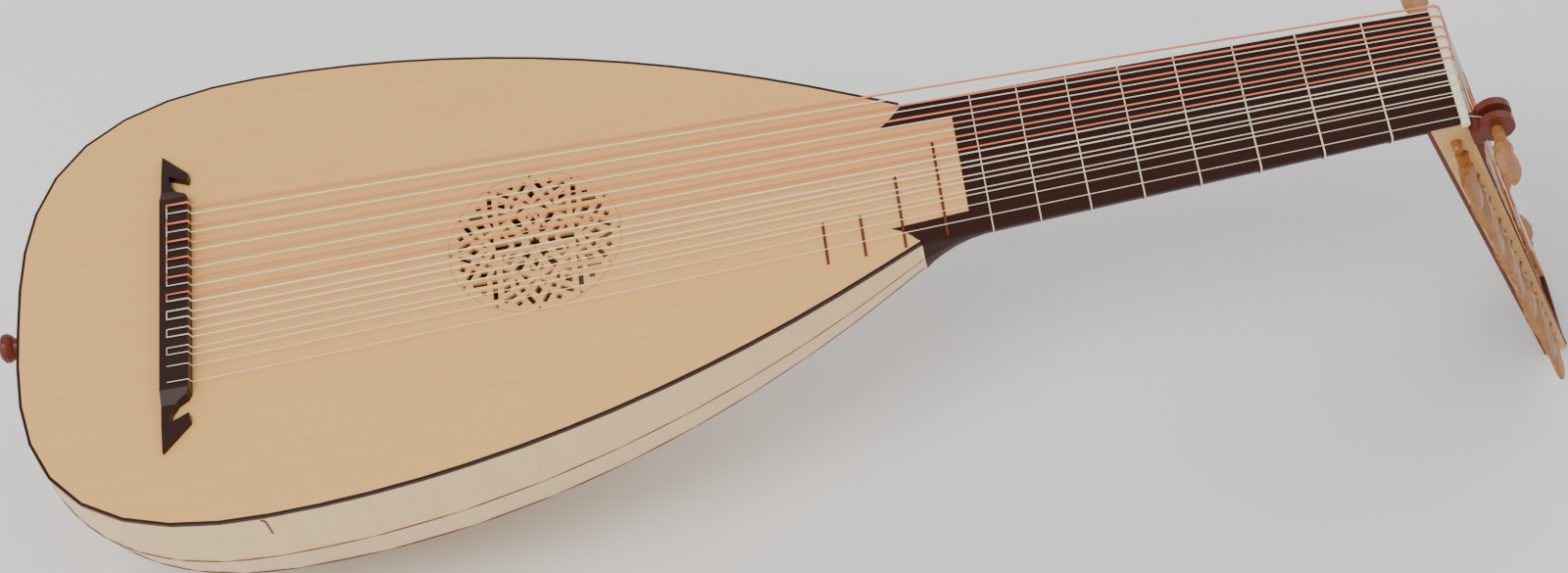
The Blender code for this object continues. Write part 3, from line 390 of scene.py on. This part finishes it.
@dataclass
class RibSpacers:
    """Thin dark lines in the seams of the bowl."""

    radius: float = 0.00032
    edge_angle: float = math.radians(17.3)
    ribs: int = 11
    steps: int = 40
    first_share: float = 0.10
    shares: float = 1.89
    tail_x: float = -0.100
    body_length: float = 0.496
    deeper_at_neck: float = 0.15
    clasp_end: float = 0.036
    clasp_floor: float = -0.0205

    def outline(self, u: float) -> tuple[float, float]:
        """Follow the body's outline.

        Args:
            u: How far along it, from 0 at the tail to 2 at the neck.

        Returns:
            The place along the lute and the half width there.
        """
        curves = (
            ((-0.100, 0.0), (-0.100, 0.0612), (-0.0998, 0.1527), (0.033, 0.1527)),
            ((0.033, 0.1527), (0.2383, 0.1527), (0.4011, 0.0427), (0.396, 0.050)),
        )
        p = curves[0] if u <= 1.0 else curves[1]
        t = u if u <= 1.0 else u - 1.0
        w = ((1 - t) ** 3, 3 * (1 - t) ** 2 * t, 3 * (1 - t) * t * t, t**3)
        return sum(a * q[0] for a, q in zip(w, p)), sum(a * q[1] for a, q in zip(w, p))

    def build(self, finish: bpy.types.Material) -> None:
        """Build every spacer, leaving out the stretches behind the clasp.

        Args:
            finish: Their material.
        """
        step = (math.pi - 2 * self.edge_angle) / (self.ribs - 2)
        for k in range(self.ribs - 1):
            angle = self.edge_angle + step * k
            points = []
            for i in range(self.steps + 1):
                x, half = self.outline(self.first_share + self.shares * i / self.steps)
                depth = half * (1.0 + self.deeper_at_neck * (x - self.tail_x) / self.body_length)
                point = (x, half * math.cos(angle), -depth * math.sin(angle))
                if point[2] < self.clasp_floor or x > self.clasp_end:
                    points.append(lute_point(*point))
            swept_line(f"spacer_{k + 1:02d}", points, self.radius, finish)


@dataclass
class Inlays:
    """The line round the rose, the clasp's end tips and the strip along the treble cheek."""

    rose_x: float = 0.1889
    rose_y: float = -0.0022
    rose_radius: float = 0.0478
    rose_line: float = 0.00014
    rose_lift: float = 0.00002
    rose_steps: int = 96
    tip_radius: float = 0.00050
    tip: tuple[tuple[float, float, float], ...] = (
        (0.0331, 0.1523, -0.0031),
        (0.0350, 0.1520, -0.0060),
        (0.0353, 0.1500, -0.0200),
    )
    strip_radius: float = 0.0009
    strip_inset: float = 0.0014
    pegbox_angle: float = math.radians(15.8)
    peg_line_x: float = STRING_LENGTH - 0.008
    pegbox_y: float = 0.0081
    # Each end of the strip: how far down the pegbox, how far in front of the pegs, half the width there
    strip_ends: tuple[tuple[float, float, float], ...] = (
        (0.078, 0.0075, 0.0359),
        (0.252, 0.0047, 0.0262),
    )

    def build(self, dark: bpy.types.Material, line: bpy.types.Material) -> None:
        """Build the inlays.

        Args:
            dark: The material of the tips and the strip.
            line: The material of the line round the rose.
        """
        swept_line("rose_line", self.rose_points(), self.rose_line, line)
        for name, side in (("clasp_tip_bass", 1), ("clasp_tip_treble", -1)):
            points = [lute_point(x, side * y, z) for x, y, z in self.tip]
            swept_line(name, points, self.tip_radius, dark)
        swept_line("cheek_strip", self.strip_points(), self.strip_radius, dark)

    def rose_points(self) -> list[Vector]:
        """Give the points of the line round the rose, with the first one again at the end."""
        ring = []
        for k in range(self.rose_steps + 1):
            angle = 2 * math.pi * k / self.rose_steps
            x = self.rose_x + self.rose_radius * math.cos(angle)
            y = self.rose_y + self.rose_radius * math.sin(angle)
            ring.append(lute_point(x, y, self.rose_lift))
        return ring

    def strip_points(self) -> list[Vector]:
        """Give the two ends of the strip along the treble cheek's front edge."""
        across, along = math.cos(self.pegbox_angle), math.sin(self.pegbox_angle)
        points = []
        for down, front, half in self.strip_ends:
            x = self.peg_line_x + down * along + front * across
            z = -down * across + front * along
            points.append(lute_point(x, self.pegbox_y - half + self.strip_inset, z))
        return points


@dataclass
class Dress:
    """Gives every solid of the lute its finish."""

    def finish_for(self, node: str) -> Finish | CourseColours:
        """Choose the finish of a solid.

        Args:
            node: The solid's name.

        Returns:
            Its finish.
        """
        if node in ("bass_courses", "course_6"):
            return CourseColours()
        if node.startswith("rib_") or node == "end_clasp":
            return RIBS
        if node.startswith("fret_"):
            return GUT
        if node.startswith("peg_"):
            return PEGWOOD
        if node.startswith("pegbox_cheek"):
            return MAPLE
        if node.startswith("course_"):
            return GUT
        if node in ("pegbox_back", "treble_rider", "end_button"):
            return PLUM
        if node in ("bridge", "edge_binding"):
            return EBONY
        if node in ("fingerboard", "neck"):
            return BOARD
        return BONE if node == "nut" else SPRUCE

    def build(self) -> dict[str, bpy.types.Material]:
        """Dress the solids.

        Returns:
            The materials by the name of their finish.
        """
        made: dict[str, bpy.types.Material] = {}
        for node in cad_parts:
            finish = self.finish_for(node)
            if finish.name not in made:
                made[finish.name] = finish.build()
            piece = bpy.data.objects[node]
            piece.data.materials.clear()
            piece.data.materials.append(made[finish.name])
        return made


@dataclass
class Studio:
    """A pale floor, soft light and the camera."""

    lens: float = 82.23
    camera_place: tuple[float, float, float] = (0.41137, -1.23020, 1.49703)

    def build(self) -> None:
        """Build the floor, the lights and the camera."""
        bm = bmesh.new()
        bmesh.ops.create_grid(bm, x_segments=1, y_segments=1, size=6.0)
        mesh = bpy.data.meshes.new("floor")
        bm.to_mesh(mesh)
        bm.free()
        pale = bpy.data.materials.new("floor")
        pale.use_nodes = True
        shader = pale.node_tree.nodes["Principled BSDF"]
        shader.inputs["Base Color"].default_value = (0.82, 0.82, 0.82, 1.0)
        shader.inputs["Roughness"].default_value = 0.9
        mesh.materials.append(pale)
        floor = bpy.data.objects.new("floor", mesh)
        floor.location.z = -0.0005
        bpy.context.scene.collection.objects.link(floor)
        world = bpy.data.worlds.new("studio")
        world.use_nodes = True
        world.node_tree.nodes["Background"].inputs["Color"].default_value = (1.0, 1.0, 1.0, 1.0)
        world.node_tree.nodes["Background"].inputs["Strength"].default_value = 0.85
        bpy.context.scene.world = world
        self.light("key", (-0.9, -1.0, 2.2), 40.0, 0.9)
        self.light("fill", (1.3, 1.2, 1.6), 10.0, 1.6)
        data = bpy.data.cameras.new("camera")
        data.lens = self.lens
        data.sensor_width = 36.0
        data.clip_end = 50.0
        camera = bpy.data.objects.new("camera", data)
        right = Vector((0.98383, -0.10705, -0.14360))
        up = Vector((0.17253, 0.78177, 0.59922))
        back = Vector((0.04812, -0.61431, 0.78760))
        turned = Matrix((right, up, back)).transposed().to_4x4()
        camera.matrix_world = LUTE @ Matrix.Translation(self.camera_place) @ turned
        bpy.context.scene.collection.objects.link(camera)
        bpy.context.scene.camera = camera

    def light(self, name: str, place: tuple[float, float, float], power: float, size: float) -> None:
        """Add one soft area light that faces the lute.

        Args:
            name: Its name.
            place: Where it stands.
            power: Its power in watts.
            size: The length of its side.
        """
        data = bpy.data.lights.new(name, "AREA")
        data.energy = power
        data.size = size
        made = bpy.data.objects.new(name, data)
        made.location = place
        made.rotation_euler = (-Vector(place)).to_track_quat("-Z", "Y").to_euler()
        bpy.context.scene.collection.objects.link(made)


def main() -> None:
    """Build the scene piece by piece."""
    logging.basicConfig(level=logging.INFO)
    made = Dress().build()
    LOG.info("solids dressed")
    BodyFrets().build(made[PLUM.name])
    LOG.info("body frets built")
    RibSpacers().build(made[PLUM.name])
    Inlays().build(made[PLUM.name], made[PEGWOOD.name])
    LOG.info("rib spacers and inlays built")
    Studio().build()
    LOG.info("studio built")


if __name__ == "__main__":
    main()
